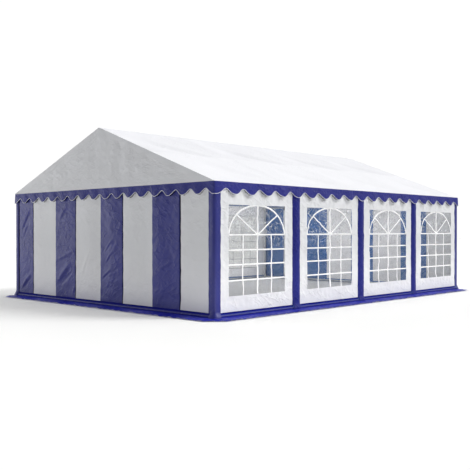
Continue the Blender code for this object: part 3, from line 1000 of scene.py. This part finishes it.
def valance_place(side, u, t):
    """A point of a valance: t is 0 at the eave and 1 at the scalloped edge."""
    seed = 51 + SIDES.index(side)
    lobe = -np.cos(2 * math.pi * valance_phase(side, u))
    depth = valance_depth(side, u)
    fall = t * depth / VALANCE_DEEP
    free = smooth(0.0, 0.25, half_of(side) - np.abs(u))
    belly = np.sin(math.pi * t)
    stand = VALANCE_STAND + VALANCE_FLUTE * lobe + 0.006 * ripple(u, 0 * u, seed, 0.6)
    out = fall * (CORNER_STAND + (stand - CORNER_STAND) * free)
    out = out + 0.004 * fall * free * ripple(u, t, seed + 4, 0.15)
    out = out + 0.0024 * free * belly * ripple(u, 0.3 * t, seed + 5, 0.065)
    out = out + 0.002 * free * lobe * belly - 0.002 * near(t, 0.12, 0.08)
    return bend(side, u, EDGE_OUT + out, EAVE_Z - t * depth, radius=VALANCE_CORNER)


def make_valance(side):
    """A scalloped strip along one side's eave, with its edging."""
    half = half_of(side)
    us = grid_lines([-half, half], VALANCE_STEP)
    long_side = side in ("left", "right")
    valance = cloth(
        f"scalloped_valance_{side}",
        us,
        np.linspace(0, 1, 11)[::-1],
        lambda u, t: valance_place(side, u, t),
        [VALANCE_BLUE if long_side else BLUE],
        lengths=lambda u, t: (u, -t * VALANCE_DEEP),
    )
    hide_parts(f"valance_{side}")
    make_piping(side, us)


def make_piping(side, us):
    """The round edging along a valance's scallops."""
    x, y, z = valance_place(side, us, np.ones_like(us))
    points = np.stack(np.broadcast_arrays(x, y, z), axis=-1)
    curve = bpy.data.curves.new(f"edging_{side}", "CURVE")
    curve.dimensions = "3D"
    curve.bevel_depth = PIPING
    curve.bevel_resolution = 1
    curve.use_fill_caps = True
    spline = curve.splines.new("POLY")
    spline.points.add(len(points) - 1)
    spline.points.foreach_set("co", np.c_[points, np.ones(len(points))].ravel())
    curve.materials.append(PIPE)
    obj = add_object(f"valance_piping_{side}", curve)
    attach(obj, "root")
    return obj


# The folds in each bay of the roof, in shares of the bay and of the slope
ROOF_FOLDS = (
    ((0.20, 0.86), (0.74, 0.47), 0.17, -0.024),
    ((0.34, 0.40), (0.86, 0.08), 0.18, -0.011),
)


def roof_rise(y, s, seed):
    """How far the roof cover stands off its plane: s is 0 at the eave, 1 at the ridge."""
    low_half = s < 0.5
    bay = np.abs(np.sin(math.pi * (y + HALF_LENGTH) / BAY))
    half = np.where(low_half, s, 1 - s) * 2
    band = np.sin(math.pi * np.where(low_half, s * 2, s * 2 - 1))
    sag = -np.where(low_half, SAG_LOW, SAG_HIGH) * bay * band - SAG_BAY * bay
    soft = 0.006 * ripple(y, 1.6 * s, seed, 1.3) * band
    folds = 0.0
    for number in range(BAYS):
        for start, end, width, height in ROOF_FOLDS:
            begin = (BAY * (number + start[0]) - HALF_LENGTH, FOLD_RUN * start[1])
            finish = (BAY * (number + end[0]) - HALF_LENGTH, FOLD_RUN * end[1])
            folds = folds + crease(y, FOLD_RUN * s, begin, finish, width, height)
    return sag + CROWN * half**2 + soft + folds + 0.0010 * ripple(y, 3 * s, seed + 1, 0.3)


def make_roof(side):
    """One slope of the roof cover, painted a little paler below the rail halfway up and darker
    above it: painted light and shade.
    """
    seed = 71 if side == "right" else 72
    sign = 1 if side == "right" else -1
    run = HALF_WIDTH + EDGE_OUT
    across = run / math.cos(SLOPE)
    half = HALF_LENGTH + EDGE_OUT

    def place(u, s):
        y = sign * u
        edge = smooth(0.0, 0.03, s) * smooth(0.0, 0.02, 1 - s)
        edge = edge * smooth(0.0, 0.25, half - np.abs(y))
        rise = roof_rise(y, s, seed) * edge
        x = run * (1 - s) + rise * math.sin(SLOPE)
        z = EAVE_Z + (RIDGE_Z - EAVE_Z) * s + rise * math.cos(SLOPE)
        return sign * x, y, z

    roof = cloth(
        f"roof_cover_{side}",
        grid_lines([-half, half], ROOF_STEP),
        grid_lines([0.0, 0.5, 1.0], ROOF_STEP / across),
        place,
        [ROOF_PAINTED_LIGHT, ROOF_PAINTED_SHADE],
        paint=lambda u, s: (s > 0.5).astype(int),
        lengths=lambda u, s: (u, s * across),
    )
    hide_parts(f"roof_{side}")


def make_gable_triangle(side):
    """The white triangle between an end wall and the roof, its white greyed as painted shade."""
    seed = 81 if side == "front" else 82
    half = HALF_WIDTH + EDGE_OUT
    reach = half - 0.004
    height = RIDGE_Z - EAVE_Z

    def place(u, t):
        top = EAVE_Z + height * (1 - np.abs(u) / half)
        z = EAVE_Z + (top - EAVE_Z) * t
        free = smooth(0, 0.15, z - EAVE_Z) * smooth(0, 0.15, top - z)
        out = 0.005 * ripple(u, 0.6 * z, seed, 0.5) * free
        out = out + 0.0016 * ripple(u, z, seed + 1, 0.14) * free
        return to_world(side, u, EDGE_OUT + out, z)

    us = grid_lines([-reach, 0, reach], TRIANGLE_STEP)
    triangle = cloth(f"gable_triangle_{side}", us, np.linspace(0, 1, 36), place, [TRIANGLE_PAINTED_SHADE])
    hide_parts(f"gable_top_{side}")


def flap_end(side, end, out):
    """Where a flap ends at a distance outward: cut back, or lapped at the front right corner."""
    half = half_of(side)
    if (side, end) not in (("front", 1), ("right", -1)):
        return half - FLAP_CUT * out / FLAP
    return half + np.interp(out, (0, FLAP_LAP, FLAP), (0, FLAP_LAP, FLAP_LAP_OUTER))


def flap_lift(side, u, out):
    """How far a flap's folds lift it off the ground: not at all under the hem."""
    seed = 61 + SIDES.index(side)
    half = half_of(side)
    folds = 0.5 + 0.5 * ripple(u, 0.3 * out, seed, 0.45, spread=0.8)
    lies = smooth(0.04, 0.12, out)
    lift = FLAP_FOLD * np.clip(folds, 0, 2) * lies
    lift = lift + 0.003 * ripple(u, out, seed + 1, 0.12) * lies
    places = [(along, 0.2) for along in np.linspace(-half, half, 30)]
    small = crinkles(u, out, seed + 2, places, count=120, spread=0.1, size=0.006)
    return lift + np.abs(small) * lies


def make_flap(side):
    """A strip of cover that lies on the ground along one wall."""
    half = half_of(side)
    us = grid_lines([-1.0, 1.0], FLAP_STEP / half)
    under_hem = FLAP_STOPS[3]
    vs = np.append(np.linspace(0, under_hem, 9), np.linspace(under_hem, 1, 14)[1:])

    def place(share, t):
        out = np.interp(1 - t, FLAP_STOPS, FLAP_OUTS)
        z = np.interp(1 - t, FLAP_STOPS, FLAP_HEIGHTS)
        u = np.where(share > 0, share * flap_end(side, 1, out), share * flap_end(side, -1, out))
        return to_world(side, u, out, np.maximum(z + flap_lift(side, u, out), FLAP_LOW))

    def lengths(share, t):
        return share * half, t * FLAP

    flap = cloth(f"flap_sheet_{side}", us, vs, place, [BRIGHT_BLUE], lengths=lengths)
    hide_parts(f"ground_flap_{side}")


def studio_object(name, create, mat, **shape):
    """A plain object of the studio, of one shape and material."""
    bm = bmesh.new()
    create(bm, **shape)
    mesh = bpy.data.meshes.new(name)
    bm.to_mesh(mesh)
    bm.free()
    mesh.materials.append(mat)
    return add_object(name, mesh)


def make_floor():
    """A wide pale floor, a hair below the tent's feet."""
    grid = bmesh.ops.create_grid
    mat = floor_material()
    floor = studio_object("floor", grid, mat, x_segments=1, y_segments=1, size=FLOOR_HALF)
    floor.location = (0, 0, FLOOR_Z)


def make_backdrop():
    """A plain white dome behind everything: only the camera sees it."""
    sphere = bmesh.ops.create_uvsphere
    mat = backdrop_material()
    dome = studio_object("backdrop", sphere, mat, u_segments=48, v_segments=24, radius=DOME_RADIUS)
    dome.data.shade_smooth()
    for ray in ("diffuse", "glossy", "transmission", "shadow"):
        setattr(dome, f"visible_{ray}", False)


def make_lamp(name, place, target, size, power, spread, colour):
    """A flat lamp at a place, turned to a target, that the camera doesn't see."""
    light = bpy.data.lights.new(name, "AREA")
    light.shape = "RECTANGLE"
    light.size, light.size_y = size
    light.energy = power
    light.spread = math.radians(spread)
    light.color = colour
    obj = add_object(name, light)
    obj.location = place
    aim = Vector(target) - Vector(place)
    obj.rotation_euler = aim.to_track_quat("-Z", "Y").to_euler()
    obj.visible_camera = False


def make_sky():
    """A pale sky, brightest high up and a little to the back left."""
    world = bpy.data.worlds.new("studio")
    world.use_nodes = True
    bpy.context.scene.world = world
    nodes = Nodes(world.node_tree)
    sky = world.node_tree.nodes["Background"]
    facing = nodes.add("VectorMath", {"operation": "DOT_PRODUCT"})
    nodes.put(facing, 0, nodes.add("TexCoord").outputs["Generated"])
    nodes.put(facing, 1, Vector(SKY_TOP).normalized())
    nodes.put(sky, "Color", (1.0, 1.0, 1.0, 1.0))
    strength = nodes.stretch(facing.outputs["Value"], *SKY_EDGES, *SKY_GLOW)
    nodes.put(sky, "Strength", strength)


def make_sun():
    """A soft sun from the back right."""
    sun = bpy.data.lights.new("key", "SUN")
    sun.energy = SUN_POWER
    sun.angle = SUN_WIDTH
    obj = add_object("key", sun)
    obj.rotation_euler = Vector(SUN_AIM).to_track_quat("-Z", "Y").to_euler()


def make_camera():
    """The camera that took the photo, as fitted to it."""
    camera = bpy.data.cameras.new("photo_camera")
    camera.sensor_width = SENSOR
    camera.lens = SENSOR * FOCAL_PIXELS / PHOTO_PIXELS
    camera.clip_end = SIGHT
    obj = add_object("photo_camera", camera)
    obj.location = CAMERA_PLACE
    obj.rotation_euler = (math.pi / 2 + CAMERA_PITCH, 0, CAMERA_YAW)
    bpy.context.scene.camera = obj


def finish_steel():
    """The steel frame keeps its own shapes, with a galvanised finish."""
    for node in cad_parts.values():
        if not node.hide_render:
            node.data.materials.clear()
            node.data.materials.append(STEEL)


make_camera()
for side_name in ("front", "back"):
    make_gable_triangle(side_name)
    make_gable_wall(side_name)
for side_name in ("right", "left"):
    make_roof(side_name)
    for bay_index in range(BAYS):
        make_window_panel(side_name, bay_index)
        make_film(side_name, bay_index)
for side_name in SIDES:
    make_valance(side_name)
    make_flap(side_name)
finish_steel()
make_floor()
make_backdrop()
make_sky()
make_sun()
for lamp_name, lamp in LAMPS.items():
    make_lamp(lamp_name, *lamp)
bpy.context.scene.view_settings.view_transform = "Standard"
